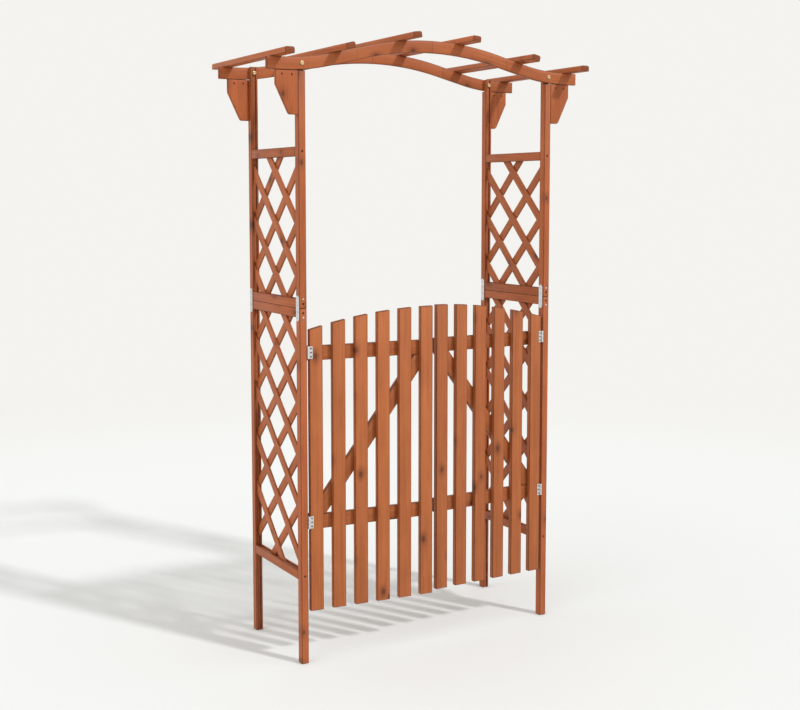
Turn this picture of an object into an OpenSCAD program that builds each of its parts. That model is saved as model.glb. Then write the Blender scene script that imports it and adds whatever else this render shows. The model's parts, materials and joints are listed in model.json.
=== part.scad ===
// Garden arbour with a double picket gate.
// Two lattice side panels carry two bowed beams and a roof of six slats, and a
// gate of two leaves hangs between the front posts on four butt hinges.
// Millimetres, Z up. The origin is on the ground, midway between the four
// feet. The front, towards which the gate opens, is -Y.

/* [Arch] */
// Width across the outside of the posts
arch_w = 986; // [800:1:1200]
// Depth across the outside of the posts
arch_d = 400; // [320:1:500]
// Height of the underside of the beams' flat ends
beam_z = 1922; // [1720:1:2300]

/* [Posts] */
// Width of a post, across the front
post_w = 25; // [22:1:40]
// Depth of a post, front to back
post_d = 28; // [26:1:45]
// Depth of the groove that holds the edge of the lattice
groove_d = 5; // [3:0.5:7]
// Height at which the lower and the upper posts meet
joint_z = 1170; // [1120:1:1300]
// How far the posts stand above the beams' flat tops
post_rise = 4; // [0:0.5:10]

/* [Side panels] */
// Height of a rail
rail_h = 30; // [24:1:45]
// Height of the bottom rail's underside
bottom_rail_z = 278; // [150:1:400]
// Height of the top rail's underside
top_rail_z = 1655; // [1500:1:1700]

/* [Lattice] */
// Width of a lattice slat
lattice_w = 30; // [20:1:40]
// Thickness of a lattice slat
lattice_t = 5.5; // [5:0.25:7.5]
// Distance between crossings, up the panel and across it
lattice_cell = 171; // [140:1:240]
// Distance from the panel's middle line back to the column of crossings
lattice_back = 8; // [0:1:20]
// Least height that a slat crosses; a shorter one is left out
lattice_least = 70; // [50:1:75]
// Drop from the upper panel's top rail to the first crossing on the middle line
upper_crossing = 37; // [10:1:120]
// The same for the lower panel
lower_crossing = 105; // [10:1:160]
// Gap round the edge of the lattice in its groove
lattice_gap = 1; // [0.5:0.5:2]

/* [Joining plates] */
// Width of a joining plate
plate_w = 20; // [16:1:24]
// Height of a joining plate
plate_h = 84; // [76:1:110]
// Thickness of a joining plate
plate_t = 2; // [1:0.5:3]
// Height of a plate's inner screws above and below the joint
plate_inner = 12; // [9:1:15]
// Height of a plate's outer screws above and below the joint
plate_outer = 31; // [26:1:34]

/* [Beams] */
// Height of a beam
beam_h = 40; // [34:1:60]
// Thickness of a beam
beam_t = 15; // [14:1:24]
// How far a beam reaches past the outside of the posts
beam_overhang = 107; // [90:1:160]
// How far the middle of a beam stands above its ends
beam_lift = 80; // [50:1:110]
// Length of the flat stretch at each end of a beam
beam_flat = 52; // [45:1:60]
// Width of the straight slope between the bends
beam_straight = 105; // [80:1:120]
// Radius of the bend over the middle, along the underside
crown_r = 1110; // [900:10:1200]
// How deep a beam is let into the posts
beam_notch = 12; // [8:1:13]

/* [Roof slats] */
// Width of a roof slat
slat_w = 33; // [25:1:40]
// Thickness of a roof slat
slat_t = 20; // [14:1:28]
// Length of a roof slat, front to back
slat_l = 600; // [560:1:900]
// Distance from the middle to the inner slats
slat_inner_x = 113; // [80:1:150]
// Gap between the middle slats' lower edge and the beams' lower bends
slat_bend_gap = 1.2; // [0:0.2:60]
// Distance from the beam's end in to the outer slats' edge
slat_outer_in = 17; // [10:1:18]

/* [Brackets] */
// Width of a bracket along its top
bracket_w = 77; // [60:1:85]
// Width of a bracket at its foot
bracket_foot = 32; // [24:1:45]
// Height of a bracket
bracket_h = 138; // [110:1:180]
// Height of the upright outer edge
bracket_edge = 45; // [30:1:60]
// Thickness of a bracket
bracket_t = 12; // [10:1:13]
// Radius of the rounded foot
bracket_r = 10; // [4:1:14]
// Drop from the top of a bracket to its screws
bracket_drop = 15; // [14:1:18]
// Distance between a bracket's two screws
bracket_screw_gap = 34; // [24:1:44]

/* [Gate] */
// Number of pickets in a leaf
picket_n = 6; // [4:1:6]
// Width of a picket
picket_w = 46; // [36:1:56]
// Thickness of a picket
picket_t = 18; // [14:1:22]
// Height of the pickets' feet above the ground
gate_z = 173; // [100:1:220]
// Height of the gate's arched top at the middle
gate_mid_z = 1162; // [1140:1:1300]
// Height of the gate's arched top beside the posts
gate_side_z = 1101; // [1085:1:1120]
// Gap between a post and the picket beside it
hinge_gap = 8; // [8:0.5:12]
// Gap between the two leaves
middle_gap = 29; // [6:1:60]
// Width of the gate's rails and braces
gate_rail_w = 48; // [36:1:60]
// Thickness of the gate's rails and braces
gate_rail_t = 17; // [14:1:22]
// Height of the lower rail's underside
lower_rail_z = 441; // [300:1:500]
// Height of the upper rail's underside
upper_rail_z = 998; // [900:1:1015]
// How far rails and braces stop short of the leaf's edge
rail_inset = 2; // [0:0.5:10]
// How far the left leaf stands open at rest, in degrees
left_ajar = 4.5; // [0:0.5:30]
// How far the right leaf stands open at rest, in degrees
right_ajar = 1.5; // [0:0.5:30]

/* [Hinges] */
// Height of a hinge
hinge_h = 40; // [34:1:60]
// Width of one hinge leaf, from the pin outwards
hinge_leaf_w = 15; // [13:0.5:18]
// Thickness of a hinge leaf
hinge_leaf_t = 1.5; // [1:0.1:2]
// Radius of the knuckles
knuckle_r = 3; // [2.6:0.1:3.4]
// Radius of the pin
pin_r = 1.5; // [1.2:0.1:1.8]
// Radial clearance between the pin and the knuckles
pin_fit = 0.05; // [0.02:0.01:0.1]
// Clearance round and between the knuckles
knuckle_gap = 0.5; // [0.3:0.1:0.8]
// How far a hinge's middle sits above its rail's middle
hinge_rise = 5; // [0:1:20]

/* [Fasteners] */
// Radius of the beam bolts
bolt_r = 3; // [2.5:0.5:4]
// Radial clearance of the beam bolts in the wood
bolt_fit = 0.25; // [0.2:0.05:0.5]
// How far a bolt's head reaches past the edges of the post's groove
bolt_head_lap = 1; // [0.5:0.25:2]
// Height of a bolt's head
bolt_head_h = 2.5; // [2:0.5:4]
// Gap between a nut's flats and the walls of the post's groove
nut_gap = 0.45; // [0.2:0.05:0.5]
// Height of a bolt's nut
nut_h = 5; // [4:0.5:6]
// Radius of the wood screws
screw_r = 2; // [1.5:0.25:2.25]
// Radius of a wood screw's head
screw_head_r = 4; // [3:0.25:4.5]
// Radius of the small screws
small_r = 1.5; // [1.25:0.05:1.7]
// Radius of a small screw's head
small_head_r = 2.8; // [2.4:0.1:3.2]
// Height of a small screw's head
small_head_h = 1.2; // [0.8:0.1:1.6]
// Radial clearance of the small screws in plates and hinge leaves
small_fit = 0.1; // [0.05:0.05:0.3]

/* [Hidden] */
SIDES = ["left", "right"];
ENDS = ["front", "rear"];
LEVELS = ["lower", "upper"];
RAILS = ["bottom_rail", "lower_middle_rail", "upper_middle_rail", "top_rail"];
SLATS = 6;

$fn = 32;
wood = [0.72, 0.42, 0.26];
wood_light = [0.78, 0.48, 0.31];
zinc = [0.75, 0.76, 0.77];
steel = [0.58, 0.59, 0.60];
brass = [0.80, 0.68, 0.38];

front_y = -arch_d / 2;
inner_x = arch_w / 2 - post_w;
panel_x = [-arch_w / 2, inner_x];
post_top = beam_z + beam_h + post_rise;
rail_y = arch_d / 2 - post_d;
rail_zs = [bottom_rail_z, joint_z - rail_h, joint_z, top_rail_z];
// Which rails carry their groove on the upper side
groove_up = [true, false, true, false];
// The groove is as wide as the two layers of the lattice
groove_w = 2 * lattice_t;
lip_t = (post_w - groove_w) / 2;

beam_half = arch_w / 2 + beam_overhang;
beam_run = beam_half - beam_flat;
beam_y = [front_y + beam_notch - beam_t, arch_d / 2 - beam_notch];
bolt_x = post_w / 2;
bolt_head_r = groove_w / 2 + bolt_head_lap;
nut_r = (groove_w / 2 - nut_gap) / cos(30);

leaf_w = inner_x - hinge_gap - middle_gap / 2;
leaf_x = -inner_x + hinge_gap;
picket_pitch = (leaf_w - picket_w) / (picket_n - 1);
gate_half = inner_x - hinge_gap;
gate_drop = gate_mid_z - gate_side_z;
gate_r = (gate_half * gate_half + gate_drop * gate_drop) / (2 * gate_drop);
gate_rail_y = front_y + picket_t;
gate_rail_zs = [lower_rail_z, upper_rail_z];

knuckle_off = knuckle_r + knuckle_gap;
hinge_x = -inner_x + knuckle_off;
hinge_y = front_y - knuckle_off;
hinge_zs = [for (z = gate_rail_zs) z + gate_rail_w / 2 + hinge_rise];
knuckle_h = hinge_h / 3;
hinge_screw_x = (knuckle_off + hinge_leaf_w) / 2;
hinge_screw_zs = [-hinge_h / 3, 0, hinge_h / 3];

small_l = 10;
rail_screw_l = 48;
slat_screw_l = 38;
bracket_screw_l = 24;
bracket_screw_tilt = 30;
picket_screw_l = gate_rail_t + 12;
picket_screw_dx = 10;

// ---------------------------------------------------------------- helpers

// Puts a thing made for the front post, rail or bracket at the front or rear
module at_end(e) {
    if (e == 0)
        children();
    else
        mirror([0, 1, 0]) children();
}

// Puts a panel's piece, made with its outer face at x = 0, on the left or right
module at_panel(s) {
    translate([panel_x[s], 0, 0]) children();
}

// Puts a thing made for the left of the arch on the left or the right
module at_side(s) {
    if (s == 0)
        children();
    else
        mirror([1, 0, 0]) children();
}

// Swings a piece of the closed left leaf about its pins to its resting place
module hang(s) {
    at_side(s)
        translate([hinge_x, hinge_y, 0])
            rotate([0, 0, s == 0 ? -left_ajar : -right_ajar])
                translate([-hinge_x, -hinge_y, 0])
                    children();
}

// A countersunk screw, pointing down, with its head level with z = 0
module wood_screw(len) {
    cylinder(h = len, r = screw_r);
    cylinder(h = screw_head_r - screw_r, r1 = screw_head_r, r2 = screw_r);
}

// A round-headed small screw that starts on the surface z = 0 and points up
module small_screw(len) {
    translate([0, 0, -small_head_h])
        cylinder(h = small_head_h, r = small_head_r);
    cylinder(h = len, r = small_r);
}

// Points round a corner of an outline, on the arc of radius r that rounds it
function corner_arc(before, corner, after, r, n) =
    let (
        a = (before - corner) / norm(before - corner),
        b = (after - corner) / norm(after - corner),
        half = acos(a * b) / 2,
        mid = (a + b) / norm(a + b),
        centre = corner + mid * r / sin(half),
        from = corner + a * r / tan(half) - centre,
        to = corner + b * r / tan(half) - centre,
        start = atan2(from[1], from[0]),
        turn = atan2(to[1], to[0]) - start,
        sweep = turn > 180 ? turn - 360 : turn < -180 ? turn + 360 : turn
    )
    [for (i = [0 : n]) centre + r * [cos(start + sweep * i / n), sin(start + sweep * i / n)]];

// ----------------------------------------------------------- beam's curve

// Half the angle of the slope: two bends and a straight rise to beam_lift
function slope_half(t, n) =
    n == 0 ? t :
    slope_half(beam_lift / (beam_run - beam_straight + 2 * beam_straight / (1 - t * t)), n - 1);

slope = 2 * atan(slope_half(beam_lift / (beam_run + beam_straight), 5));
foot_r = (beam_run - beam_straight) / sin(slope) - crown_r;
crown_x = crown_r * sin(slope);
foot_x = crown_x + beam_straight;
slat_xs = [
    slat_inner_x,
    foot_x - slat_bend_gap - slat_w / 2,
    beam_half - slat_outer_in - slat_w / 2
];

// Height of a beam's underside above its flat ends, at x from the middle
function lift(x) =
    abs(x) < crown_x ? beam_lift - crown_r + sqrt(crown_r * crown_r - x * x) :
    abs(x) < foot_x ? foot_r * (1 - cos(slope)) + (foot_x - abs(x)) * tan(slope) :
    abs(x) < beam_run ? foot_r - sqrt(foot_r * foot_r - pow(beam_run - abs(x), 2)) :
    0;

// Slope of the beam in degrees, falling towards +x
function fall(x) =
    let (a = abs(x) < crown_x ? asin(abs(x) / crown_r) :
             abs(x) < foot_x ? slope :
             abs(x) < beam_run ? asin((beam_run - abs(x)) / foot_r) : 0)
    a * sign(x);

// ------------------------------------------------------------ side panels

module post_section() {
    back = front_y + post_d;
    polygon([
        [0, front_y], [post_w, front_y],
        [post_w, back], [post_w - lip_t, back],
        [post_w - lip_t, back - groove_d], [lip_t, back - groove_d],
        [lip_t, back], [0, back]
    ]);
}

module lower_post() {
    color(wood)
        linear_extrude(joint_z) post_section();
}

// The upper post is notched for the beam and drilled for its bolt
module upper_post(s) {
    color(wood)
        difference() {
            translate([0, 0, joint_z])
                linear_extrude(post_top - joint_z) post_section();
            translate([-1, front_y - 1, beam_z])
                cube([post_w + 2, beam_notch + 1, post_top]);
            translate([bolt_x, front_y, bolt_z(s)])
                rotate([-90, 0, 0]) cylinder(h = post_d, r = bolt_r + bolt_fit);
        }
}

module post(s, e, l) {
    at_panel(s) at_end(e) {
        if (l == 0)
            lower_post();
        else
            upper_post(s);
    }
}

// A rail has the posts' groove along one edge, and a tongue in their grooves at
// each end
module rail(s, r) {
    core_h = rail_h - groove_d;
    core_z = groove_up[r] ? 0 : groove_d;
    color(wood)
        at_panel(s) translate([0, 0, rail_zs[r]]) {
            for (x = [0, post_w - lip_t])
                translate([x, -rail_y, 0])
                    cube([lip_t, 2 * rail_y, rail_h]);
            translate([0, -rail_y, core_z])
                cube([post_w, 2 * rail_y, core_h]);
            translate([lip_t, -rail_y - groove_d, core_z])
                cube([groove_w, 2 * (rail_y + groove_d), core_h]);
        }
}

// ---------------------------------------------------------------- lattice

// One layer of parallel slats, each cut to the panel's opening
module lattice_layer(half_y, z0, z1, first, dir) {
    k0 = ceil((z0 + lattice_least - half_y - first) / lattice_cell);
    k1 = floor((z1 - lattice_least + half_y - first) / lattice_cell);
    for (k = [k0 : k1])
        intersection() {
            translate([0, -half_y, z0])
                cube([lattice_t, 2 * half_y, z1 - z0]);
            translate([0, 0, first + k * lattice_cell])
                rotate([dir * 45, 0, 0])
                    translate([0, -(z1 - z0), -lattice_w / 2])
                        cube([lattice_t, 2 * (z1 - z0), lattice_w]);
        }
}

module lattice(s, l) {
    in = groove_d - lattice_gap;
    half_y = rail_y + in;
    z0 = l == 0 ? bottom_rail_z + rail_h - in : joint_z + rail_h - in;
    z1 = (l == 0 ? joint_z - rail_h : top_rail_z) + in;
    first = l == 0 ? joint_z - rail_h - lower_crossing : top_rail_z - upper_crossing;
    at_panel(s) {
        color(wood)
            translate([lip_t, 0, 0])
                lattice_layer(half_y, z0, z1, first - lattice_back, 1);
        color(wood_light)
            translate([lip_t + lattice_t, 0, 0])
                lattice_layer(half_y, z0, z1, first + lattice_back, -1);
    }
}

// ------------------------------------------------------ beams and brackets

// Places along half a beam where its outline has a point
beam_steps = concat(
    [for (i = [0 : 9]) crown_x * i / 10],
    [crown_x],
    [for (i = [0 : 7]) foot_x + (beam_run - foot_x) * i / 8],
    [beam_run, beam_half]
);
beam_xs = concat(
    [for (i = [len(beam_steps) - 1 : -1 : 1]) -beam_steps[i]],
    beam_steps
);

// Middle of the beam at the bolt of the left or right posts
function bolt_z(s) = beam_z + beam_h / 2 + lift(panel_x[s] + bolt_x);

// A beam glued up from lengths of board and sawn to its curve
module beam(e) {
    under = [for (x = beam_xs) [x, lift(x)]];
    over = [for (i = [len(beam_xs) - 1 : -1 : 0]) [beam_xs[i], lift(beam_xs[i]) + beam_h]];
    color(wood_light)
        difference() {
            translate([0, beam_y[e] + beam_t, beam_z])
                rotate([90, 0, 0])
                    linear_extrude(beam_t) polygon(concat(under, over));
            for (s = [0, 1])
                translate([panel_x[s] + bolt_x, beam_y[e] - 1, bolt_z(s)])
                    rotate([-90, 0, 0]) cylinder(h = beam_t + 2, r = bolt_r + bolt_fit);
        }
}

// Runs a hole or a screw up through the bracket into the beam
module at_bracket_screws() {
    for (i = [-1, 1])
        translate([-bracket_w / 2 + i * bracket_screw_gap / 2, 0, -bracket_drop])
            rotate([-bracket_screw_tilt, 0, 0])
                children();
}

// A bracket stands against a post's outer side, under the beam
module at_bracket(s, e) {
    at_side(s)
        translate([-arch_w / 2, e == 0 ? front_y : arch_d / 2 - bracket_t, beam_z])
            children();
}

module bracket(s, e) {
    foot = [-bracket_foot, -bracket_h];
    edge = [-bracket_w, -bracket_edge];
    color(wood)
        at_bracket(s, e)
            difference() {
                translate([0, bracket_t, 0])
                    rotate([90, 0, 0])
                        linear_extrude(bracket_t)
                            polygon(concat(
                                [[0, 0], [-bracket_w, 0], edge],
                                corner_arc(edge, foot, [0, -bracket_h], bracket_r, 6),
                                [[0, -bracket_h]]
                            ));
                at_bracket_screws()
                    translate([0, 0, -screw_head_r])
                        cylinder(h = 2 * screw_head_r, r = screw_r + 0.75);
            }
}

// ------------------------------------------------------------- roof slats

// Slats are numbered from the left
function slat_x(i) = i < 3 ? -slat_xs[2 - i] : slat_xs[i - 3];

module on_beam(x) {
    translate([x, 0, beam_z + beam_h + lift(x)])
        rotate([0, fall(x), 0])
            children();
}

module roof_slat(i) {
    color(i % 2 == 0 ? wood : wood_light)
        on_beam(slat_x(i))
            translate([-slat_w / 2, -slat_l / 2, 0])
                cube([slat_w, slat_l, slat_t]);
}

// ------------------------------------------------------------------- gate

// Height of the arched top of the gate, at x from the middle of the arch
function gate_top(x) = gate_mid_z - gate_r + sqrt(gate_r * gate_r - x * x);

// Pickets are numbered from the hinge
module picket(s, i) {
    x0 = leaf_x + i * picket_pitch;
    x1 = x0 + picket_w;
    color(i % 2 == 0 ? wood_light : wood)
        hang(s)
            translate([0, front_y + picket_t, 0])
                rotate([90, 0, 0])
                    linear_extrude(picket_t)
                        polygon([[x0, gate_z], [x1, gate_z], [x1, gate_top(x1)], [x0, gate_top(x0)]]);
}

module gate_rail(s, h) {
    color(wood)
        hang(s)
            translate([leaf_x + rail_inset, gate_rail_y, gate_rail_zs[h]])
                cube([leaf_w - 2 * rail_inset, gate_rail_t, gate_rail_w]);
}

// The brace fills the space between the rails from corner to corner: its
// angle makes its sloping width and its rise add up to the rails' length
module gate_brace(s) {
    low = lower_rail_z + gate_rail_w;
    rise = upper_rail_z - low;
    run = leaf_w - 2 * rail_inset;
    angle = atan2(rise, run) + asin(gate_rail_w / norm([run, rise]));
    cut = gate_rail_w / sin(angle);
    x0 = leaf_x + rail_inset;
    color(wood_light)
        hang(s)
            translate([x0, gate_rail_y + gate_rail_t, low])
                rotate([90, 0, 0])
                    linear_extrude(gate_rail_t)
                        polygon([[0, 0], [cut, 0], [run, rise], [run - cut, rise]]);
}

// ----------------------------------------------------------------- hinges

module knuckle(z0, z1) {
    translate([hinge_x, hinge_y, z0])
        cylinder(h = z1 - z0, r = knuckle_r);
}

module pin_bore(z) {
    translate([hinge_x, hinge_y, z - hinge_h])
        cylinder(h = 2 * hinge_h, r = pin_r + pin_fit);
}

// The gate's half of a hinge: one knuckle, and a leaf on the outer picket
module gate_hinge_half(z) {
    half = knuckle_h / 2;
    plate_y = front_y - hinge_leaf_t;
    difference() {
        union() {
            knuckle(z - half, z + half);
            translate([hinge_x, plate_y, z - half])
                cube([knuckle_off, hinge_leaf_t, knuckle_h]);
            translate([hinge_x + knuckle_off, plate_y, z - hinge_h / 2])
                cube([hinge_leaf_w - knuckle_off, hinge_leaf_t, hinge_h]);
        }
        pin_bore(z);
        for (dz = hinge_screw_zs)
            translate([hinge_x + hinge_screw_x, plate_y - 1, z + dz])
                rotate([-90, 0, 0]) cylinder(h = hinge_leaf_t + 2, r = small_r + small_fit);
    }
}

// The post's half: two knuckles, and a leaf on the post's inner side
module post_hinge_half(z) {
    half = knuckle_h / 2 + knuckle_gap;
    arm = hinge_h / 2 - half;
    difference() {
        union() {
            for (z0 = [z - hinge_h / 2, z + half]) {
                knuckle(z0, z0 + arm);
                translate([-inner_x, hinge_y, z0])
                    cube([hinge_leaf_t, knuckle_off, arm]);
            }
            translate([-inner_x, hinge_y + knuckle_off, z - hinge_h / 2])
                cube([hinge_leaf_t, hinge_leaf_w - knuckle_off, hinge_h]);
        }
        pin_bore(z);
        for (dz = hinge_screw_zs)
            translate([-inner_x - 1, hinge_y + hinge_screw_x, z + dz])
                rotate([0, 90, 0]) cylinder(h = hinge_leaf_t + 2, r = small_r + small_fit);
    }
}

module hinge_leaves(s) {
    color(zinc)
        hang(s)
            for (z = hinge_zs) gate_hinge_half(z);
}

module post_hinge_leaves() {
    color(zinc)
        for (s = [0, 1], z = hinge_zs)
            at_side(s) post_hinge_half(z);
}

// Each pin hangs by its head from the top of the upper knuckle
module hinge_pins() {
    color(steel)
        for (s = [0, 1], z = hinge_zs)
            at_side(s)
                translate([hinge_x, hinge_y, z - hinge_h / 2]) {
                    cylinder(h = hinge_h, r = pin_r);
                    translate([0, 0, hinge_h]) cylinder(h = 1, r = knuckle_r - 0.5);
                }
}

// -------------------------------------------------------------- fasteners

plate_screw_zs = [-plate_outer, -plate_inner, plate_inner, plate_outer];

module at_plates() {
    for (s = [0, 1], e = [0, 1])
        at_panel(s) at_end(e)
            translate([0, front_y + post_d / 2, joint_z])
                children();
}

// A steel strip with round ends across each joint between two posts
module joining_plates() {
    straight = plate_h - plate_w;
    color(zinc)
        at_plates()
            difference() {
                translate([-plate_t, 0, 0])
                    rotate([0, 90, 0]) {
                        for (i = [-1, 1])
                            translate([i * straight / 2, 0, 0])
                                cylinder(h = plate_t, r = plate_w / 2);
                        translate([-straight / 2, -plate_w / 2, 0])
                            cube([straight, plate_w, plate_t]);
                    }
                for (dz = plate_screw_zs)
                    translate([-plate_t - 1, 0, dz])
                        rotate([0, 90, 0]) cylinder(h = plate_t + 2, r = small_r + small_fit);
            }
}

// A round-headed bolt with a hexagon socket
module bolt(len) {
    difference() {
        union() {
            translate([0, 0, -bolt_head_h]) cylinder(h = bolt_head_h, r = bolt_head_r);
            cylinder(h = len, r = bolt_r);
        }
        translate([0, 0, -bolt_head_h - 1])
            cylinder(h = bolt_head_h, r = bolt_r * 0.8, $fn = 6);
    }
}

// The nut turns on the bolt's end with a fitting clearance, and its flats stand
// upright beside the walls of the groove
module nut() {
    difference() {
        rotate([0, 0, 30]) cylinder(h = nut_h, r = nut_r, $fn = 6);
        translate([0, 0, -1]) cylinder(h = nut_h + 2, r = bolt_r + pin_fit);
    }
}

// Every bolt has its head to the front and its nut behind: the front bolts
// start on the beam and end in the post's groove, and the rear ones start
// across the groove's edges and end behind the beam
module beam_bolts() {
    through = post_d - beam_notch + beam_t;
    start = [beam_y[0], arch_d / 2 - post_d];
    grip = [through - groove_d, through];
    color(brass)
        for (s = [0, 1], e = [0, 1])
            translate([panel_x[s] + bolt_x, start[e], bolt_z(s)])
                rotate([-90, 0, 0]) {
                    bolt(grip[e] + nut_h);
                    translate([0, 0, grip[e]]) nut();
                }
}

// Screws through the posts into the rails' ends, through the roof slats into
// the beams, and up through the brackets into the beams
module frame_screws() {
    color(steel) {
        for (s = [0, 1], e = [0, 1], z = rail_zs)
            at_panel(s) at_end(e)
                translate([post_w / 2, front_y, z + rail_h / 2])
                    rotate([-90, 0, 0]) wood_screw(rail_screw_l);
        for (i = [0 : SLATS - 1], e = [0, 1])
            on_beam(slat_x(i))
                translate([0, beam_y[e] + beam_t / 2, slat_t])
                    mirror([0, 0, 1]) wood_screw(slat_screw_l);
        for (s = [0, 1], e = [0, 1])
            at_bracket(s, e) at_bracket_screws()
                translate([0, 0, screw_head_r]) cylinder(h = bracket_screw_l - screw_head_r, r = screw_r);
    }
}

// Screws through the joining plates and the posts' hinge leaves, and a pair
// above and below the joint in each post's outer face
module small_screws() {
    color(zinc) {
        at_plates()
            for (dz = plate_screw_zs)
                translate([-plate_t, 0, dz])
                    rotate([0, 90, 0]) small_screw(small_l);
        for (s = [0, 1], z = hinge_zs, dz = hinge_screw_zs)
            at_side(s)
                translate([-inner_x + hinge_leaf_t, hinge_y + hinge_screw_x, z + dz])
                    rotate([0, -90, 0]) small_screw(small_l);
        for (s = [0, 1], e = [0, 1], dz = [-rail_h, rail_h])
            at_panel(s) at_end(e)
                translate([post_w / 2, front_y, joint_z + dz])
                    rotate([-90, 0, 0]) small_screw(small_l);
    }
}

// Screws from the back of a leaf through its rails into the pickets, and
// through its hinge leaves into the outer picket
module gate_screws(s) {
    color(zinc)
        hang(s) {
            for (i = [0 : picket_n - 1], z = gate_rail_zs, d = [-1, 1])
                translate([
                    leaf_x + i * picket_pitch + picket_w / 2 + d * picket_screw_dx,
                    gate_rail_y + gate_rail_t,
                    z + gate_rail_w / 2 + d * picket_screw_dx
                ])
                    rotate([90, 0, 0]) small_screw(picket_screw_l);
            for (z = hinge_zs, dz = hinge_screw_zs)
                translate([hinge_x + hinge_screw_x, front_y - hinge_leaf_t, z + dz])
                    rotate([-90, 0, 0]) small_screw(small_l);
        }
}

// ------------------------------------------------------------------ nodes

for (s = [0, 1], e = [0, 1], l = [0, 1])
    post(s, e, l);
for (s = [0, 1], r = [0 : 3])
    rail(s, r);
for (s = [0, 1], l = [0, 1])
    lattice(s, l);
for (e = [0, 1])
    beam(e);
for (i = [0 : SLATS - 1])
    roof_slat(i);
for (s = [0, 1], e = [0, 1])
    bracket(s, e);
for (s = [0, 1], i = [0 : picket_n - 1])
    picket(s, i);
for (s = [0, 1], h = [0, 1])
    gate_rail(s, h);
for (s = [0, 1])
    gate_brace(s);
for (s = [0, 1])
    hinge_leaves(s);
for (s = [0, 1])
    gate_screws(s);
post_hinge_leaves();
hinge_pins();
joining_plates();
beam_bolts();
frame_screws();
small_screws();
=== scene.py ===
import json
import math
import random

import bmesh
import bpy
from mathutils import Matrix, Vector


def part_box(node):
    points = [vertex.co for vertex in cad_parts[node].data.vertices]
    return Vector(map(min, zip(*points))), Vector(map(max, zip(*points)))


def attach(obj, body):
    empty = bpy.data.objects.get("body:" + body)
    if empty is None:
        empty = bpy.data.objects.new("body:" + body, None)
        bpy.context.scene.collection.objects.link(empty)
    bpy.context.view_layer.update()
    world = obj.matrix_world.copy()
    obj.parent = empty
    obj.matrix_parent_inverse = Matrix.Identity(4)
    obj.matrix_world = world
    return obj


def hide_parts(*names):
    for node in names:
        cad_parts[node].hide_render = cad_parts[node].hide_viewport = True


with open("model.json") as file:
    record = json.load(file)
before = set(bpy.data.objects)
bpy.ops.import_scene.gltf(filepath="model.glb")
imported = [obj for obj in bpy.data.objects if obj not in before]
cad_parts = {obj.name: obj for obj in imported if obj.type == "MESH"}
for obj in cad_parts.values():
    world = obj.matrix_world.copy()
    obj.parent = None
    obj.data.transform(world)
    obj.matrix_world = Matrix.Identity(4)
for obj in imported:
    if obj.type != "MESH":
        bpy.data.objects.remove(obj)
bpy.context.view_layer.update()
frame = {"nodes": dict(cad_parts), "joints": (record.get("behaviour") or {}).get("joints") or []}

# ------------------------------------------------------------------ posts
# Eight lengths of stained fir, two to a corner, screwed and plated end to end.
# Each has a groove down its inner face for the lattice, and the upper ones are
# notched at the top for the beams.

GROOVE = 0.011
GROOVE_DEPTH = 0.005
NOTCH = 0.012
POST_EDGE = 0.0020

draw = random.Random(41)


class Shade:
    """A value in a material that adds and multiplies as a number does."""

    def __init__(self, tree, socket=None):
        self.tree = tree
        self.socket = socket

    def node(self, kind, settings=None, inputs=None, out=0):
        made = self.tree.nodes.new(kind)
        for name, value in (settings or {}).items():
            setattr(made, name, value)
        for name, value in (inputs or {}).items():
            if isinstance(value, Shade):
                self.tree.links.new(value.socket, made.inputs[name])
            else:
                made.inputs[name].default_value = value
        return Shade(self.tree, made.outputs[out]) if made.outputs else None

    def maths(self, operation, *values):
        return self.node("ShaderNodeMath", {"operation": operation}, dict(enumerate(values)))

    def spread(self, low, high):
        """Runs smoothly from 0 at low to 1 at high."""
        return self.node(
            "ShaderNodeMapRange",
            {"interpolation_type": "SMOOTHSTEP"},
            {"Value": self, "From Min": low, "From Max": high},
        )

    def stretched(self, by):
        return self.node("ShaderNodeVectorMath", {"operation": "MULTIPLY"}, {0: self, 1: by})

    def dimmed(self, by):
        return self.node("ShaderNodeVectorMath", {"operation": "SCALE"}, {0: self, "Scale": by})

    def painted(self, amount, colour):
        return self.node(
            "ShaderNodeMix",
            {"data_type": "RGBA", "clamp_factor": True},
            {0: amount, 6: self, 7: colour},
            out=2,
        )

    def __add__(self, other):
        return self.maths("ADD", self, other)

    def __sub__(self, other):
        return self.maths("SUBTRACT", self, other)

    def __rsub__(self, other):
        return self.maths("SUBTRACT", other, self)

    def __mul__(self, other):
        return self.maths("MULTIPLY", self, other)

    __radd__ = __add__
    __rmul__ = __mul__


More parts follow.
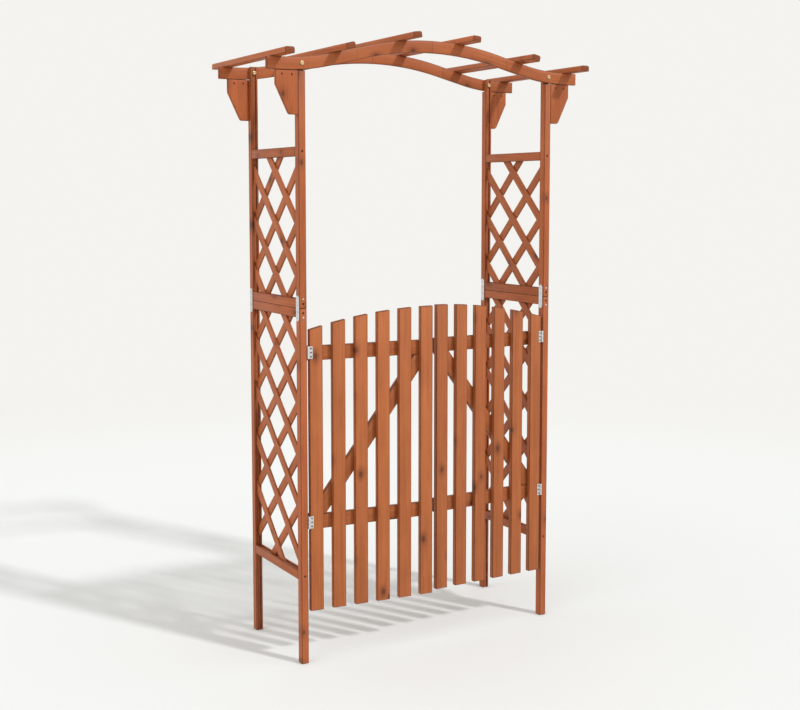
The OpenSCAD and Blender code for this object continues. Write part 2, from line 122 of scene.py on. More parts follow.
def stained_fir(name, pale, deep):
    """Stained softwood: grain along the board, knots, dark arrises and end grain."""
    wood = bpy.data.materials.new(name)
    wood.use_nodes = True
    wood.node_tree.nodes.clear()
    s = Shade(wood.node_tree)
    grain = s.node("ShaderNodeAttribute", {"attribute_name": "grain"}, out="Vector")
    board = s.node("ShaderNodeAttribute", {"attribute_name": "board"}, out="Vector")
    edge, end, tone = (
        s.node("ShaderNodeSeparateXYZ", {}, {0: board}, out=axis) for axis in ("X", "Y", "Z")
    )

    # Knots: an oval spot in a few of the cells of a coarse grid, in a brown smudge
    cells = {"voronoi_dimensions": "2D", "feature": "F1"}
    per_metre = 11.0
    oval = grain.stretched((0.62, 1.0, 1.0))
    away = s.node("ShaderNodeTexVoronoi", cells, {"Vector": oval, "Scale": per_metre}, "Distance")
    luck = s.node("ShaderNodeTexVoronoi", cells, {"Vector": oval, "Scale": per_metre}, "Color")
    chance = s.node("ShaderNodeSeparateColor", {}, {0: luck}, out=0)
    size = s.node("ShaderNodeSeparateColor", {}, {0: luck}, out=1)
    ragged = s.node(
        "ShaderNodeTexNoise", {}, {"Vector": grain, "Scale": 260.0, "Detail": 4.0}, "Fac"
    )
    chosen = chance.spread(0.54, 0.55)
    reach = away * (1 / per_metre) + (ragged - 0.5) * 0.005 - size * 0.0025
    knot = chosen * reach.spread(0.0072, 0.0012)
    smudge = chosen * reach.spread(0.022, 0.003)

    # Grain: fine lines, a broad figure and the blotches of the stain
    bend = s.node("ShaderNodeCombineXYZ", {}, {"Y": smudge * 0.7})
    lines = s.node(
        "ShaderNodeVectorMath",
        {"operation": "ADD"},
        {0: grain.stretched((3.4, 210.0, 210.0)), 1: bend},
    )
    fine = s.node(
        "ShaderNodeTexNoise",
        {},
        {"Vector": lines, "Scale": 1.0, "Detail": 5.0, "Roughness": 0.66, "Distortion": 0.3},
        "Fac",
    )
    broad = s.node(
        "ShaderNodeTexNoise",
        {},
        {
            "Vector": grain.stretched((1.5, 44.0, 44.0)),
            "Scale": 1.0,
            "Detail": 2.0,
            "Distortion": 1.1,
        },
        "Fac",
    )
    blotch = s.node(
        "ShaderNodeTexNoise",
        {},
        {"Vector": grain.stretched((9.0, 22.0, 22.0)), "Scale": 1.0, "Detail": 3.0},
        "Fac",
    )
    pores = s.node(
        "ShaderNodeTexNoise",
        {},
        {"Vector": grain.stretched((26.0, 900.0, 900.0)), "Scale": 1.0, "Detail": 2.0},
        "Fac",
    )
    worn = s.node("ShaderNodeTexNoise", {}, {"Vector": grain, "Scale": 55.0, "Detail": 3.0}, "Fac")

    stain = (
        fine.spread(0.34, 0.70) * 0.42
        + broad.spread(0.30, 0.72) * 0.30
        + blotch.spread(0.30, 0.70) * 0.28
    )
    colour = s.node("ShaderNodeMix", {"data_type": "RGBA"}, {0: stain, 6: pale, 7: deep}, out=2)
    dark = (0.062, 0.013, 0.004, 1.0)
    colour = colour.painted(pores.spread(0.58, 0.78) * 0.16, dark)
    colour = colour.painted(smudge * (0.34 + size * 0.30), (0.135, 0.030, 0.008, 1.0))
    colour = colour.painted(edge * (0.55 + worn.spread(0.3, 0.7) * 0.25), dark)
    colour = colour.painted(end * (0.48 + fine * 0.34), (0.100, 0.022, 0.007, 1.0))
    colour = colour.painted(knot * (0.50 + ragged * 0.30), (0.050, 0.012, 0.004, 1.0))
    rough = 0.46 + fine * 0.14 + end * 0.18 - knot * 0.08
    height = fine * 0.50 + pores * 0.40 - knot * 0.4
    bump = s.node("ShaderNodeBump", {}, {"Strength": 0.35, "Distance": 0.0005, "Height": height})
    skin = s.node(
        "ShaderNodeBsdfPrincipled",
        {},
        {
            "Base Color": colour.dimmed(tone),
            "Roughness": rough,
            "Normal": bump,
            "Specular IOR Level": 0.28,
        },
    )
    s.node("ShaderNodeOutputMaterial", {}, {"Surface": skin})
    return wood


def block(name, low, high):
    """A block between two corners, in edit mode with nothing selected."""
    bpy.ops.object.select_all(action="DESELECT")
    low, high = Vector(low), Vector(high)
    bpy.ops.mesh.primitive_cube_add(size=1, location=(low + high) / 2)
    made = bpy.context.object
    made.name = name
    made.scale = high - low
    bpy.ops.object.transform_apply(location=True, rotation=True, scale=True)
    bpy.ops.object.mode_set(mode="EDIT")
    bpy.ops.mesh.select_all(action="DESELECT")
    return made


def take(*pieces):
    """Selects these pieces and no others, and makes the first one active."""
    bpy.ops.object.select_all(action="DESELECT")
    for piece in pieces:
        piece.select_set(True)
    bpy.context.view_layer.objects.active = pieces[0]


def choose(piece, wanted):
    """Selects the faces whose middle and normal pass the test, and no others."""
    bpy.ops.mesh.select_all(action="DESELECT")
    bpy.ops.mesh.select_mode(type="FACE")
    shell = bmesh.from_edit_mesh(piece.data)
    for face in shell.faces:
        face.select_set(bool(wanted(face.calc_center_median(), face.normal)))
    shell.select_flush_mode()
    bmesh.update_edit_mesh(piece.data)


def score(at, facing, off=False):
    """Cuts the open piece along a plane; off also takes away what lies beyond it."""
    bpy.ops.mesh.select_all(action="SELECT")
    bpy.ops.mesh.bisect(plane_co=at, plane_no=facing, clear_outer=off, use_fill=off)


def draw_out(piece, wanted, by):
    """Extrudes the chosen faces by a distance."""
    choose(piece, wanted)
    bpy.ops.mesh.extrude_region_move(TRANSFORM_OT_translate={"value": by})


def ease(piece, radius, steps=2):
    """Leaves edit mode and rounds the edges. The rounded faces take the second slot."""
    bpy.ops.object.mode_set(mode="OBJECT")
    piece.data.materials.clear()
    piece.data.materials.append(None)
    piece.data.materials.append(None)
    rounding = piece.modifiers.new("edges", "BEVEL")
    rounding.width = radius
    rounding.segments = steps
    rounding.limit_method = "ANGLE"
    rounding.angle_limit = math.radians(35)
    rounding.material = 1
    take(piece)
    bpy.ops.object.modifier_apply(modifier="edges")
    bpy.ops.object.shade_smooth_by_angle(angle=math.radians(32))
    return piece


def another(piece, name, place):
    """A copy with its own mesh, moved or mirrored into place."""
    made = piece.copy()
    made.data = piece.data.copy()
    made.name = name
    bpy.context.scene.collection.objects.link(made)
    made.data.transform(place)
    if place.determinant() < 0:
        made.data.flip_normals()
    return made


def finish_board(piece, wood, run, wide, tone=None):
    """Gives a board its grain along run, its dark edges and its own shade of stain."""
    run, wide = Vector(run).normalized(), Vector(wide).normalized()
    thick = run.cross(wide)
    mesh = piece.data
    start = [draw.uniform(0, 40) for _ in range(3)]
    shade = draw.uniform(0.93, 1.07) if tone is None else tone
    flow = mesh.attributes.new("grain", "FLOAT_VECTOR", "POINT")
    flow.data.foreach_set(
        "vector",
        [
            value
            for v in mesh.vertices
            for value in (
                v.co.dot(run) + start[0], v.co.dot(wide) + start[1], v.co.dot(thick) + start[2]
            )
        ],
    )
    marks = mesh.attributes.new("board", "FLOAT_VECTOR", "CORNER")
    values = [0.0] * (3 * len(mesh.loops))
    for face in mesh.polygons:
        edge = 1.0 if face.material_index == 1 else 0.0
        end = 1.0 if abs(face.normal.dot(run)) > 0.8 and not edge else 0.0
        for loop in face.loop_indices:
            values[3 * loop:3 * loop + 3] = edge, end, shade
    marks.data.foreach_set("vector", values)
    mesh.polygons.foreach_set("material_index", [0] * len(mesh.polygons))
    mesh.materials.clear()
    mesh.materials.append(wood)
    return piece


def stand_in(piece, body, node):
    """Puts a finished piece on its body in place of its CAD node."""
    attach(piece, body)
    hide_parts(node)


frame_wood = stained_fir("stained_fir", (0.385, 0.104, 0.030, 1.0), (0.255, 0.060, 0.016, 1.0))

low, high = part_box("left_front_post_lower")
groove_from = (low.x + high.x) / 2 - GROOVE / 2
groove_to = groove_from + GROOVE
floor_y = high.y - GROOVE_DEPTH


def groove_post(post):
    """Raises the two lips either side of the groove on the block's back."""
    score((groove_from, 0, 0), (1, 0, 0))
    score((groove_to, 0, 0), (1, 0, 0))
    middle = (groove_from + groove_to) / 2
    for side in (-1, 1):
        draw_out(
            post,
            lambda c, n: n.y > 0.9 and (c.x - middle) * side > GROOVE / 2,
            (0, GROOVE_DEPTH, 0),
        )


lower_post = block("post.pattern_lower", low, (high.x, floor_y, high.z))
groove_post(lower_post)
ease(lower_post, POST_EDGE)

low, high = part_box("left_front_post_upper")
beam_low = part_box("front_beam")[0].z
upper_post = block("post.pattern_upper", low, (high.x, floor_y, beam_low))
groove_post(upper_post)
score((0, low.y + NOTCH, 0), (0, 1, 0))
draw_out(
    upper_post,
    lambda c, n: n.z > 0.9 and c.z > beam_low - 1e-4 and c.y > low.y + NOTCH,
    (0, 0, high.z - beam_low),
)
ease(upper_post, POST_EDGE)

left_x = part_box("left_front_post_lower")[0].x
for side in ("left", "right"):
    across = Matrix.Translation((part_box(f"{side}_front_post_lower")[0].x - left_x, 0, 0))
    for end in ("front", "rear"):
        turn = across if end == "front" else across @ Matrix.Scale(-1, 4, (0, 1, 0))
        for level, pattern in (("lower", lower_post), ("upper", upper_post)):
            post = another(pattern, f"post.{side}_{end}_{level}", turn)
            finish_board(post, frame_wood, (0, 0, 1), (1, 0, 0))
            stand_in(post, "arbour", f"{side}_{end}_post_{level}")
bpy.data.objects.remove(lower_post)
bpy.data.objects.remove(upper_post)

# ------------------------------------------------------------------ rails
# Four fir rails cross each side panel, tongued into the grooves of the posts
# and held by a screw at each end. A groove in one edge takes the lattice.

RAIL_EDGE = 0.0014

for side in ("left", "right"):
    for rail in ("bottom_rail", "lower_middle_rail", "upper_middle_rail", "top_rail"):
        low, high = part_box(f"{side}_{rail}")
        up = rail in ("bottom_rail", "upper_middle_rail")
        core_low = low.z if up else low.z + GROOVE_DEPTH
        core_high = high.z - GROOVE_DEPTH if up else high.z
        shoulder = high.y - GROOVE_DEPTH
        middle = (low.x + high.x) / 2
        bar = block(
            f"rail.{side}_{rail}", (low.x, -shoulder, core_low), (high.x, shoulder, core_high)
        )
        score((middle - GROOVE / 2, 0, 0), (1, 0, 0))
        score((middle + GROOVE / 2, 0, 0), (1, 0, 0))
        facing = 1 if up else -1
        for lip in (-1, 1):
            draw_out(
                bar,
                lambda c, n: n.z * facing > 0.9 and (c.x - middle) * lip > GROOVE / 2,
                (0, 0, GROOVE_DEPTH * facing),
            )
        for end in (-1, 1):
            draw_out(
                bar,
                lambda c, n: n.y * end > 0.9 and abs(c.x - middle) < GROOVE / 2,
                (0, GROOVE_DEPTH * end, 0),
            )
        ease(bar, RAIL_EDGE)
        finish_board(bar, frame_wood, (0, 1, 0), (0, 0, 1))
        stand_in(bar, "arbour", f"{side}_{rail}")

# ---------------------------------------------------------------- lattice
# Thin fir slats at 45 degrees, one layer laid over the other and both held in
# the grooves of the posts and rails.

SLAT_WIDE = 0.030
SLAT_EDGE = 0.0008
CELL = 0.171
SET_BACK = 0.008
LEAST = 0.070
FIRST_DROP = {"lower": 0.105, "upper": 0.037}

lattice_wood = stained_fir(
    "stained_fir_light", (0.400, 0.112, 0.034, 1.0), (0.275, 0.068, 0.019, 1.0)
)

for side in ("left", "right"):
    for level in ("lower", "upper"):
        node = f"{side}_lattice_{level}"
        low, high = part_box(node)
        thick = (high.x - low.x) / 2
        middle = (low.y + high.y) / 2
        rail = "lower_middle_rail" if level == "lower" else "top_rail"
        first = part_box(f"{side}_{rail}")[0].z - FIRST_DROP[level]
        span = high.z - low.z
        reach = high.y - middle
        slats = []
        for layer, lean in ((0, 1), (1, -1)):
            x = low.x + layer * thick
            start = first - lean * SET_BACK
            index = math.ceil((low.z + LEAST - reach - start) / CELL)
            while start + index * CELL <= high.z - LEAST + reach:
                at = Vector((x, middle, start + index * CELL))
                slat = block(
                    "slat",
                    (x, middle - span, at.z - SLAT_WIDE / 2),
                    (x + thick, middle + span, at.z + SLAT_WIDE / 2),
                )
                bpy.ops.object.mode_set(mode="OBJECT")
                slat.data.transform(
                    Matrix.Translation(at)
                    @ Matrix.Rotation(math.radians(45 * lean), 4, "X")
                    @ Matrix.Translation(-at)
                )
                bpy.ops.object.mode_set(mode="EDIT")
                score((0, 0, low.z), (0, 0, -1), off=True)
                score((0, 0, high.z), (0, 0, 1), off=True)
                score((0, low.y, 0), (0, -1, 0), off=True)
                score((0, high.y, 0), (0, 1, 0), off=True)
                ease(slat, SLAT_EDGE)
                finish_board(slat, lattice_wood, (0, 1, lean), (0, -lean, 1))
                slats.append(slat)
                index += 1
        take(*slats)
        bpy.ops.object.join()
        panel = bpy.context.object
        panel.name = f"lattice.{side}_{level}"
        stand_in(panel, "arbour", node)

# ------------------------------------------------------------------ beams
# Two beams glued up from finger-jointed lengths of fir and sawn to a bow. They
# sit in the notches of the posts, each held by two bolts.

JOINTS = {"front": (-0.285, 0.0, 0.300), "rear": (-0.300, -0.012, 0.285)}
JOINT_LINE = 0.0011
BEAM_TALL = 0.040
BEAM_EDGE = 0.0018

beam_wood = stained_fir("beam_fir", (0.395, 0.110, 0.033, 1.0), (0.262, 0.064, 0.018, 1.0))

for end in ("front", "rear"):
    node = f"{end}_beam"
    low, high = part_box(node)
    mesh = frame["nodes"][node].data
    rim = {}
    for v in mesh.vertices:
        rim.setdefault(round(v.co.x, 4), []).append(v.co.z)
    tops = sorted((x, max(z)) for x, z in rim.items() if max(z) - min(z) > BEAM_TALL - 0.001)

    def top_at(x):
        for (x0, z0), (x1, z1) in zip(tops, tops[1:]):
            if x0 <= x <= x1:
                return z0 + (z1 - z0) * (x - x0) / max(x1 - x0, 1e-9)
        return tops[-1][1]

    stations = [x for x, _ in tops]
    for joint in JOINTS[end]:
        stations = [x for x in stations if abs(x - joint) > 0.004]
        stations += [joint - JOINT_LINE / 2, joint + JOINT_LINE / 2]
    stations.sort()
    first = stations[0]
    beam = block(
        f"beam.{end}",
        (first, low.y, top_at(first) - BEAM_TALL),
        (stations[1], high.y, top_at(first)),
    )
    bpy.ops.object.mode_set(mode="OBJECT")
    for v in beam.data.vertices:
        if v.co.x > (first + stations[1]) / 2:
            v.co.z += top_at(stations[1]) - top_at(first)
    bpy.ops.object.mode_set(mode="EDIT")
    for here, there in zip(stations[1:], stations[2:]):
        draw_out(
            beam,
            lambda c, n: abs(c.x - here) < 1e-6,
            (there - here, 0, top_at(there) - top_at(here)),
        )
    ease(beam, BEAM_EDGE)
    finish_board(beam, beam_wood, (1, 0, 0), (0, 0, 1))
    flow = beam.data.attributes["grain"].data
    for v, value in zip(beam.data.vertices, flow):
        value.vector.y -= top_at(v.co.x)
    marks = beam.data.attributes["board"].data
    shades = [draw.uniform(0.93, 1.07) for _ in range(len(JOINTS[end]) + 1)]
    for face in beam.data.polygons:
        x = face.center.x
        length = sum(x > joint for joint in JOINTS[end])
        seam = any(abs(x - joint) < JOINT_LINE for joint in JOINTS[end])
        for loop in face.loop_indices:
            marks[loop].vector.z = shades[length]
            if seam:
                marks[loop].vector.x = 1.1
    stand_in(beam, "arbour", node)

# ------------------------------------------------------------- roof slats
# Six fir battens lie across the two beams, screwed down through their tops.
# Their upper long edges are well rounded.

ROOF_WIDE = 0.033
ROOF_TALL = 0.020
ROOF_ROUND = 0.0065
ROOF_EDGE = 0.0018


def choose_edges(piece, wanted):
    """Selects the edges whose two ends pass the test, and no others."""
    bpy.ops.mesh.select_all(action="DESELECT")
    bpy.ops.mesh.select_mode(type="EDGE")
    shell = bmesh.from_edit_mesh(piece.data)
    for edge in shell.edges:
        edge.select_set(wanted(*(v.co for v in edge.verts)))
    bmesh.update_edit_mesh(piece.data)


for number in range(1, 7):
    node = f"roof_slat_{number}"
    low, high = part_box(node)
    centre = (low + high) / 2
    tilt = 0.0
    if abs((high.x - low.x) - ROOF_WIDE) > 1e-4:
        best = min(
            (math.radians(t / 20) for t in range(0, 500)),
            key=lambda t: abs(
                ROOF_WIDE * math.cos(t) + ROOF_TALL * math.sin(t) - (high.x - low.x)
            ),
        )
        tilt = best if centre.x > 0 else -best
    batten = block(
        f"slat.{number}",
        (centre.x - ROOF_WIDE / 2, low.y, centre.z - ROOF_TALL / 2),
        (centre.x + ROOF_WIDE / 2, high.y, centre.z + ROOF_TALL / 2),
    )
    choose_edges(batten, lambda a, b: min(a.z, b.z) > centre.z and abs(a.y - b.y) > 0.1)
    bpy.ops.mesh.bevel(offset=ROOF_ROUND, segments=5, affect="EDGES")
    ease(batten, ROOF_EDGE)
    batten.data.transform(
        Matrix.Translation(centre) @ Matrix.Rotation(tilt, 4, "Y") @ Matrix.Translation(-centre)
    )
    finish_board(batten, lattice_wood, (0, 1, 0), (1, 0, 0))
    stand_in(batten, "arbour", node)

# --------------------------------------------------------------- brackets
# A shaped fir board stands under each end of the beams, against the post, with
# two screws run up at a slant through holes near its top.

BRACKET_WIDE = 0.077
BRACKET_FOOT = 0.032
BRACKET_TALL = 0.138
BRACKET_EDGE = 0.045
BRACKET_ROUND = 0.0014
TOE_ROUND = 0.007
HOLE_OFF_MIDDLE = 0.017
HOLE_DOWN = 0.015
HOLE_RADIUS = 0.00275
HOLE_DEEP = 0.010
HOLE_SLANT = math.radians(-30)


def cut_away(piece, tool):
    """Takes the tool's shape out of the piece, then takes the tool away."""
    cut = piece.modifiers.new("cut", "BOOLEAN")
    cut.operation = "DIFFERENCE"
    cut.object = tool
    take(piece)
    bpy.ops.object.modifier_apply(modifier="cut")
    bpy.data.objects.remove(tool)


for side in ("left", "right"):
    for end in ("front", "rear"):
        node = f"{side}_{end}_bracket"
        low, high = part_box(node)
        out = -1 if side == "left" else 1
        post_x = high.x if side == "left" else low.x
        board = block(f"bracket.{side}_{end}", low, high)
        knee = Vector((post_x + out * BRACKET_WIDE, 0, high.z - BRACKET_EDGE))
        toe = Vector((post_x + out * BRACKET_FOOT, 0, high.z - BRACKET_TALL))
        slope = (knee - toe).normalized()
        outward = Vector((slope.z, 0, -slope.x)) * out
        score(knee, outward, off=True)
        choose_edges(
            board,
            lambda *ends: all(abs(c.x - toe.x) < 1e-4 and abs(c.z - toe.z) < 1e-4 for c in ends),
        )
        bpy.ops.mesh.bevel(offset=TOE_ROUND, segments=6, affect="EDGES")
        ease(board, BRACKET_ROUND)
        for shift in (-HOLE_OFF_MIDDLE, HOLE_OFF_MIDDLE):
            bpy.ops.object.select_all(action="DESELECT")
            bpy.ops.mesh.primitive_cylinder_add(
                vertices=20,
                radius=HOLE_RADIUS,
                depth=HOLE_DEEP,
                location=(post_x + out * BRACKET_WIDE / 2 + shift, low.y, high.z - HOLE_DOWN),
                rotation=(HOLE_SLANT, 0, 0),
            )
            cut_away(board, bpy.context.object)
        finish_board(board, frame_wood, (0, 0, 1), (1, 0, 0))
        stand_in(board, "arbour", node)

# --------------------------------------------------------------- pickets
# Each leaf of the gate has six fir pickets, screwed to its rails from behind.
# Their tops are sawn to follow one arch over both leaves.

PICKET_EDGE = 0.0021

picket_wood = stained_fir("picket_fir", (0.385, 0.114, 0.032, 1.0), (0.250, 0.064, 0.017, 1.0))

# How each leaf turns from where it stands to shut, and back
shut = {}
ajar = {}
for joint in frame["joints"]:
    pin = Matrix.Translation(Vector(joint["pos_m"]))
    to_shut = Matrix.Rotation(math.radians(joint["range_deg"][0]), 4, Vector(joint["axis"]))
    shut[joint["child"]] = pin @ to_shut @ pin.inverted()
    ajar[joint["child"]] = shut[joint["child"]].inverted()


def shut_corners(node, leaf):
    """The corners of a node of a leaf, with the leaf swung shut."""
    return [shut[leaf] @ v.co for v in frame["nodes"][node].data.vertices]


def shut_box(node, leaf):
    """The lowest and highest corners of a node of a leaf, with the leaf swung shut."""
    corners = shut_corners(node, leaf)
    return (
        Vector(min(c[i] for c in corners) for i in range(3)),
        Vector(max(c[i] for c in corners) for i in range(3)),
    )


for side in ("left", "right"):
    leaf = f"{side}_leaf"
    for number in range(1, 7):
        node = f"{side}_picket_{number}"
        low, high = shut_box(node, leaf)
        corners = shut_corners(node, leaf)
        tall_left = max(c.z for c in corners if abs(c.x - low.x) < 1e-4)
        tall_right = max(c.z for c in corners if abs(c.x - high.x) < 1e-4)
        picket = block(f"picket.{side}_{number}", low, high)
        rise = Vector((high.x - low.x, 0, tall_right - tall_left)).normalized()
        score((low.x, 0, tall_left), (-rise.z, 0, rise.x), off=True)
        ease(picket, PICKET_EDGE)
        finish_board(picket, picket_wood, (0, 0, 1), (1, 0, 0))
        picket.data.transform(ajar[leaf])
        stand_in(picket, leaf, node)

# --------------------------------------------------- gate rails and braces
# Two fir rails cross the back of each leaf, with a brace from the foot of the
# hinge side to the head of the other, cut to lie between them.

BRACE_WIDE = 0.048
GATE_EDGE = 0.0016

for side in ("left", "right"):
    leaf = f"{side}_leaf"
    for level in ("lower", "upper"):
        node = f"{side}_gate_rail_{level}"
        bar = block(f"gate_rail.{side}_{level}", *shut_box(node, leaf))
        ease(bar, GATE_EDGE)
        finish_board(bar, picket_wood, (1, 0, 0), (0, 0, 1))
        bar.data.transform(ajar[leaf])
        stand_in(bar, leaf, node)

    node = f"{side}_gate_brace"
    low, high = shut_box(node, leaf)
    run, rise = high.x - low.x, high.z - low.z
    angle = math.atan2(rise, run) + math.asin(BRACE_WIDE / math.hypot(run, rise))
    lean = 1 if side == "left" else -1
    middle = (low + high) / 2
    length = 1.5 * math.hypot(run, rise)
    brace = block(
        f"brace.{side}",
        (middle.x - length / 2, low.y, middle.z - BRACE_WIDE / 2),
        (middle.x + length / 2, high.y, middle.z + BRACE_WIDE / 2),
    )
    bpy.ops.object.mode_set(mode="OBJECT")
    turned = Matrix.Rotation(-angle * lean, 4, "Y")
    brace.data.transform(Matrix.Translation(middle) @ turned @ Matrix.Translation(-middle))
    bpy.ops.object.mode_set(mode="EDIT")
    score((0, 0, low.z), (0, 0, -1), off=True)
    score((0, 0, high.z), (0, 0, 1), off=True)
    ease(brace, GATE_EDGE)
    along = turned @ Vector((1, 0, 0))
    finish_board(brace, picket_wood, along, turned @ Vector((0, 0, 1)))
    brace.data.transform(ajar[leaf])
    stand_in(brace, leaf, node)

# ---------------------------------------------- hinges, plates and bolts
# Pressed butt hinges and joining plates of bright zinc-plated steel, plain pins
# and yellow passivated bolts. The hinges and plates are screwed on.


def plated(name, colour, rough, spangle, dirt):
    """Metal with a faint spangle, finger-dull patches and a bloom of dirt."""
    metal = bpy.data.materials.new(name)
    metal.use_nodes = True
    metal.node_tree.nodes.clear()
    s = Shade(metal.node_tree)
    place = s.node("ShaderNodeTexCoord", {}, out="Object")
    grainy = s.node(
        "ShaderNodeTexNoise", {}, {"Vector": place, "Scale": 900.0, "Detail": 3.0}, "Fac"
    )
    flakes = s.node("ShaderNodeTexVoronoi", {}, {"Vector": place, "Scale": 420.0}, "Distance")
    cloud = s.node("ShaderNodeTexNoise", {}, {"Vector": place, "Scale": 70.0, "Detail": 4.0}, "Fac")
    base = s.node(
        "ShaderNodeMix",
        {"data_type": "RGBA"},
        {
            0: flakes.spread(0.1, 0.9) * spangle,
            6: colour,
            7: tuple(c * 0.6 for c in colour[:3]) + (1.0,),
        },
        out=2,
    )
    base = base.painted(cloud.spread(0.52, 0.78) * dirt, (0.10, 0.09, 0.08, 1.0))
    bump = s.node("ShaderNodeBump", {}, {"Strength": 0.15, "Distance": 0.0002, "Height": grainy})
    skin = s.node(
        "ShaderNodeBsdfPrincipled",
        {},
        {
            "Base Color": base,
            "Metallic": 1.0 - cloud.spread(0.55, 0.85) * (dirt * 0.8),
            "Roughness": rough + grainy * 0.12 + cloud * 0.10,
            "Normal": bump,
        },
    )
    s.node("ShaderNodeOutputMaterial", {}, {"Surface": skin})
    return metal


zinc = plated("zinc", (0.74, 0.75, 0.76, 1.0), 0.26, 0.35, 0.25)
steel = plated("steel", (0.30, 0.29, 0.28, 1.0), 0.34, 0.20, 0.45)
yellow_zinc = plated("yellow_zinc", (0.60, 0.47, 0.24, 1.0), 0.32, 0.25, 0.45)


def softened(node, name, metal, radius, body):
    """A copy of a metal node with its facets joined and its edges rounded."""
    made = bpy.data.objects.new(name, frame["nodes"][node].data.copy())
    bpy.context.scene.collection.objects.link(made)
    take(made)
    if made.data.has_custom_normals:
        bpy.ops.mesh.customdata_custom_splitnormals_clear()
    bpy.ops.object.mode_set(mode="EDIT")
    bpy.ops.mesh.select_all(action="SELECT")
    bpy.ops.mesh.remove_doubles(threshold=1e-6)
    bpy.ops.mesh.dissolve_limited(angle_limit=math.radians(1))
    ease(made, radius)
    made.data.polygons.foreach_set("material_index", [0] * len(made.data.polygons))
    made.data.materials.clear()
    made.data.materials.append(metal)
    stand_in(made, body, node)


softened("post_hinge_leaves", "hinge.post_leaves", zinc, 0.0003, "arbour")
softened("left_hinge_leaves", "hinge.left_leaves", zinc, 0.0003, "left_leaf")
softened("right_hinge_leaves", "hinge.right_leaves", zinc, 0.0003, "right_leaf")
softened("hinge_pins", "hinge.pins", steel, 0.0003, "arbour")
softened("joining_plates", "plate.joining", zinc, 0.0004, "arbour")
softened("beam_bolts", "bolt.beams", yellow_zinc, 0.0004, "arbour")

# ----------------------------------------------------------------- screws
# Countersunk screws with cross recesses: dark ones through posts, brackets and
# roof, bright ones in hinges, plates and pickets. Each head stands a hair proud,
# and its cross recess is painted near black as shade.

HEAD_PROUD = 0.0005
ALIKE = 0.00001

black_steel = plated("black_steel", (0.030, 0.020, 0.016, 1.0), 0.55, 0.04, 0.50)
worn_steel = plated("worn_steel", (0.20, 0.19, 0.175, 1.0), 0.40, 0.15, 0.50)
# Near-black metal for inside the cross recesses: painted shade, not the screws' own colour.
recess_steel = plated("recess_steel", (0.050, 0.045, 0.040, 1.0), 0.50, 0.10, 0.60)

# The head that the others are copied from: radius 1, its top at height 0
bpy.ops.object.select_all(action="DESELECT")
bpy.ops.mesh.primitive_cylinder_add(vertices=24, radius=1.0, depth=0.9, location=(0, 0, -0.45))
head = bpy.context.object
bpy.ops.object.transform_apply(location=True, rotation=True, scale=True)
head.data.materials.append(None)
head.data.materials.append(None)
bpy.ops.object.mode_set(mode="EDIT")
choose(head, lambda c, n: n.z > 0.9)
bpy.ops.mesh.bevel(offset=0.22, segments=3, affect="EDGES")
bpy.ops.object.mode_set(mode="OBJECT")
for turn in (0.0, math.pi / 2):
    bpy.ops.object.select_all(action="DESELECT")
    bpy.ops.mesh.primitive_cube_add(size=1, location=(0, 0, 0), rotation=(0, 0, turn))
    blade = bpy.context.object
    blade.scale = (1.15, 0.26, 0.8)
    bpy.ops.object.transform_apply(location=True, rotation=True, scale=True)
    cut_away(head, blade)
# Faces down inside the cross recess take the second slot, which holds the painted shade.
for face in head.data.polygons:
    c = face.center
    face.material_index = int(c.z < -0.02 and math.hypot(c.x, c.y) < 0.62 and c.z > -0.45)
bpy.ops.object.shade_smooth_by_angle(angle=math.radians(32))


def screw_places(node):
    """Where each screw of a CAD node has its head: middle, way out and radius.

    The head is the widest flat end, or the lower end of a plain rod. Corners and
    faces are kept in the mesh's own order, so each head always gets the same turn.
    """
    shell = bmesh.new()
    shell.from_mesh(frame["nodes"][node].data)
    bmesh.ops.remove_doubles(shell, verts=shell.verts, dist=1e-6)
    waiting = dict.fromkeys(shell.verts)
    places = []
    while waiting:
        heap = [waiting.popitem()[0]]
        island = []
        while heap:
            corner = heap.pop()
            island.append(corner)
            for edge in corner.link_edges:
                other = edge.other_vert(corner)
                if other in waiting:
                    del waiting[other]
                    heap.append(other)
        points = [v.co.copy() for v in island]
        best = None
        for face in dict.fromkeys(face for v in island for face in v.link_faces):
            n = face.normal
            level = max(p.dot(n) for p in points)
            rim = [p for p in points if p.dot(n) > level - 2e-5]
            centre = sum(rim, Vector()) / len(rim)
            reach = [(p - centre).length for p in rim]
            round_enough = len(rim) >= 8 and min(reach) > 0.9 * max(reach)
            wider = best is None or max(reach) > best[2] + ALIKE
            lower = not wider and max(reach) > best[2] - ALIKE and centre.z < best[0].z - ALIKE
            if round_enough and (wider or lower):
                best = (centre, n.copy(), max(reach))
        places.append(best)
    shell.free()
    return places


def screws(node, name, metal, body):
    """One head for each screw of a CAD node, joined into a piece."""
    heads = []
    for number, (centre, out, radius) in enumerate(screw_places(node)):
        spin = Matrix.Rotation(draw.uniform(0, math.pi), 4, "Z")
        place = (
            Matrix.Translation(centre + out * HEAD_PROUD)
            @ out.to_track_quat("Z", "Y").to_matrix().to_4x4()
            @ spin
            @ Matrix.Diagonal((radius, radius, radius, 1))
        )
        heads.append(another(head, f"{name}_{number}", place))
    take(*heads)
    bpy.ops.object.join()
    made = bpy.context.object
    made.name = name
    made.data.materials.clear()
    made.data.materials.append(metal)
    # The second slot paints shade into the cross recesses.
    made.data.materials.append(recess_steel)
    stand_in(made, body, node)


screws("small_screws", "screw.small", zinc, "arbour")
screws("frame_screws", "screw.frame", black_steel, "arbour")
screws("left_gate_screws", "screw.left_leaf", worn_steel, "left_leaf")
screws("right_gate_screws", "screw.right_leaf", worn_steel, "right_leaf")
bpy.data.objects.remove(head)

# ------------------------------------------------------ floor, light, view
# A plain pale floor that fades into the same white as the room, a high lamp from
# the front right with a soft one from the left, and the view from the front left.

PAPER = (0.905, 0.896, 0.866, 1.0)

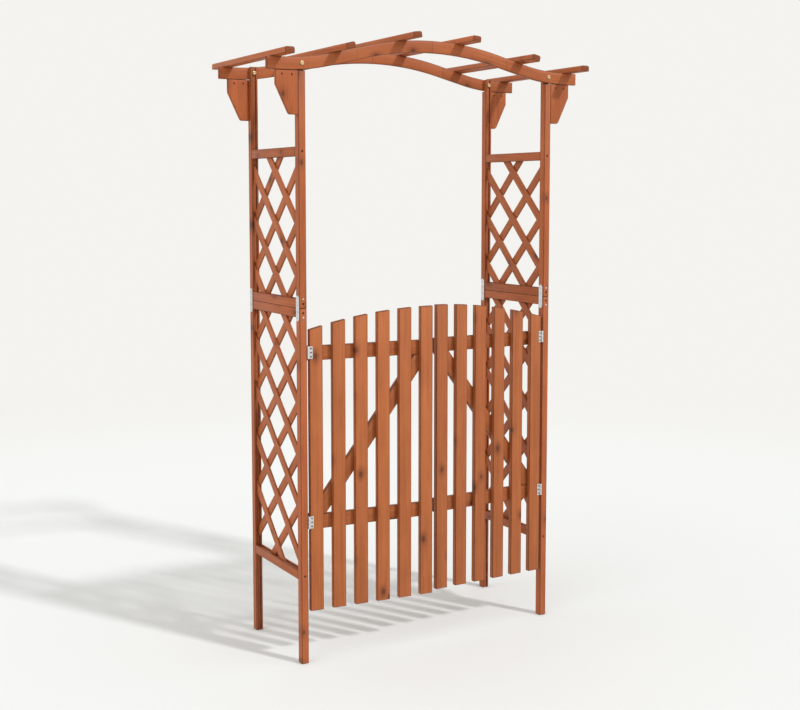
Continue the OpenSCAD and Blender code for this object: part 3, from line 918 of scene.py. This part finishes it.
bpy.ops.object.select_all(action="DESELECT")
bpy.ops.mesh.primitive_plane_add(size=120, location=(0, 0, -0.0005))
ground = bpy.context.object
ground.name = "floor"
paper = bpy.data.materials.new("floor")
paper.use_nodes = True
paper.node_tree.nodes.clear()
s = Shade(paper.node_tree)
place = s.node("ShaderNodeTexCoord", {}, out="Object")
distance = s.node("ShaderNodeVectorMath", {"operation": "LENGTH"}, {0: place}, "Value")
matt = s.node("ShaderNodeBsdfDiffuse", {}, {"Color": (0.660, 0.672, 0.670, 1.0)})
glow = s.node("ShaderNodeEmission", {}, {"Color": PAPER, "Strength": 1.0})
both = s.node("ShaderNodeMixShader", {}, {0: distance.spread(2.4, 5.0), 1: matt, 2: glow})
s.node("ShaderNodeOutputMaterial", {}, {"Surface": both})
ground.data.materials.append(paper)

room = bpy.data.worlds.new("room")
room.use_nodes = True
room.node_tree.nodes["Background"].inputs["Color"].default_value = PAPER
room.node_tree.nodes["Background"].inputs["Strength"].default_value = 1.0
bpy.context.scene.world = room

LAMP_TURN = math.radians(28)
LAMP_HEIGHT = math.radians(39)
LOOK_TURN = math.radians(30.04)
LOOK_DIP = math.radians(5.12)
EYE = (-2.1963, -3.7849, 1.5302)
FILL_FROM = Vector((-0.93, -0.15, 0.33))

bpy.ops.object.light_add(type="SUN")
lamp = bpy.context.object
lamp.name = "lamp"
lamp.data.energy = 2.0
lamp.data.angle = math.radians(4.5)
toward = Vector((
    math.sin(LAMP_TURN) * math.cos(LAMP_HEIGHT),
    -math.cos(LAMP_TURN) * math.cos(LAMP_HEIGHT),
    math.sin(LAMP_HEIGHT),
))
lamp.rotation_mode = "QUATERNION"
lamp.rotation_quaternion = toward.to_track_quat("Z", "Y")

bpy.ops.object.light_add(type="SUN")
fill = bpy.context.object
fill.name = "fill"
fill.data.energy = 1.1
fill.data.angle = math.radians(70)
fill.rotation_mode = "QUATERNION"
fill.rotation_quaternion = FILL_FROM.to_track_quat("Z", "Y")

bpy.ops.object.camera_add(location=EYE)
eye = bpy.context.object
eye.name = "view"
ahead = Vector((
    math.sin(LOOK_TURN) * math.cos(LOOK_DIP),
    math.cos(LOOK_TURN) * math.cos(LOOK_DIP),
    -math.sin(LOOK_DIP),
))
eye.rotation_mode = "QUATERNION"
eye.rotation_quaternion = ahead.to_track_quat("-Z", "Y")
eye.data.sensor_width = 36.0
eye.data.lens = 56.0
eye.data.shift_y = -0.06
bpy.context.scene.camera = eye
bpy.context.scene.view_settings.view_transform = "Standard"
